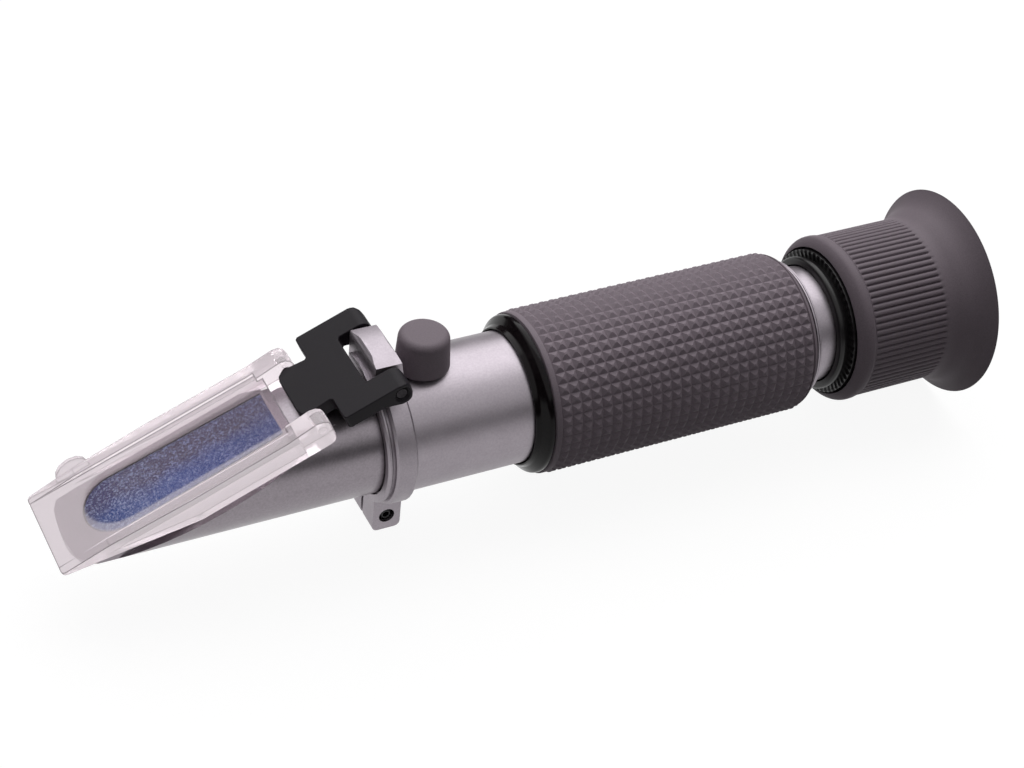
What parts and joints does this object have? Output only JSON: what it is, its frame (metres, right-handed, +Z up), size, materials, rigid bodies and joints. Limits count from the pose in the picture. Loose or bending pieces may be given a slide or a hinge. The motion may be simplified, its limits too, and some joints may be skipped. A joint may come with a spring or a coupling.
{
  "type": "handheld refractometer",
  "caption": "Handheld refractometer: sloping prism under a hinged clear plate, clamp hinge, knurled rubber grip, capped calibration screw and focusing eyepiece with eyecup.",
  "frame": {"origin": "centre of the bounding box in X and Y, on the plane that the eyecup's rim and the clamp's ears rest on", "axes": "+X along the tube's axis towards the eyepiece, -X towards the prism, +Z up on the side of the cover and the calibration cap, +Y across"},
  "size_m": [0.1738, 0.039, 0.039],
  "materials": {
    "satin_aluminium": "satin anodised",
    "polished_metal": "polished",
    "dark_metal": "black anodised",
    "brass": "turned",
    "black_gloss": "gloss",
    "black_matte": "matt moulded",
    "grey_rubber": "matt moulded rubber",
    "clear_plastic": "clear acrylic",
    "blue_glass": "ground glass with a blue tint",
    "optical_glass": "polished"
  },
  "bodies": {
    "housing": {"prism_body": "satin_aluminium", "measuring_prism": "blue_glass", "clamp_band": "polished_metal", "clamp_screw": "dark_metal", "main_tube": "satin_aluminium", "calibration_bush": "polished_metal", "grip_front_ring": "black_gloss", "grip_sleeve": "grey_rubber", "grip_rear_ring": "polished_metal", "strip_anchor": "dark_metal", "bimetal_strip": "brass", "strip_screw": "dark_metal", "light_stop": "black_matte", "eyepiece_neck": "satin_aluminium", "reticle": "optical_glass", "reticle_retaining_ring": "dark_metal"},
    "objective": {"objective_cell": "dark_metal", "objective_lens": "optical_glass", "objective_retaining_ring": "dark_metal"},
    "adjuster": {"calibration_screw": "brass"},
    "cap": {"calibration_cap": "grey_rubber"},
    "cover": {"hinge_arm": "black_matte", "hinge_pin": "polished_metal", "plate_pin": "polished_metal"},
    "plate": {"daylight_plate": "clear_plastic"},
    "ocular": {"ocular_barrel": "dark_metal", "field_lens": "optical_glass", "lens_spacer": "dark_metal", "eye_lens": "optical_glass", "ocular_retaining_ring": "dark_metal"},
    "eyepiece": {"eyepiece_collar": "black_matte", "eyecup": "grey_rubber"}
  },
  "joints": [
    {"name": "cover_hinge", "type": "hinge", "parent": "housing", "child": "cover", "pos_m": [-0.02955, 0, 0.03595], "axis": [0, 1, 0], "range_deg": [0, 115]},
    {"name": "plate_pivot", "type": "hinge", "parent": "cover", "child": "plate", "pos_m": [-0.04279, 0, 0.03104], "axis": [0, 1, 0], "range_deg": [0, 12]},
    {"name": "cap_lift", "type": "slide", "parent": "housing", "child": "cap", "axis": [0, 0, 1], "range_m": [0, 0.012]},
    {"name": "calibration_turn", "type": "hinge", "parent": "housing", "child": "adjuster", "pos_m": [-0.02095, 0, 0.0335], "axis": [0, 0, 1], "range_deg": [-180, 180]},
    {"name": "objective_shift", "type": "slide", "parent": "housing", "child": "objective", "axis": [0, 0, 1], "range_m": [-0.000174, 0.000174]},
    {"name": "focus_travel", "type": "slide", "parent": "housing", "child": "ocular", "axis": [1, 0, 0], "range_m": [-0.00075, 0.00075]},
    {"name": "focus_turn", "type": "hinge", "parent": "ocular", "child": "eyepiece", "pos_m": [0.07, 0, 0.0195], "axis": [1, 0, 0], "range_deg": [-180, 180]}
  ],
  "couplings": [
    {"joint": "calibration_turn", "follows": "objective_shift", "rad_per_m": 17952},
    {"joint": "focus_turn", "follows": "focus_travel", "rad_per_m": 4188.8}
  ]
}
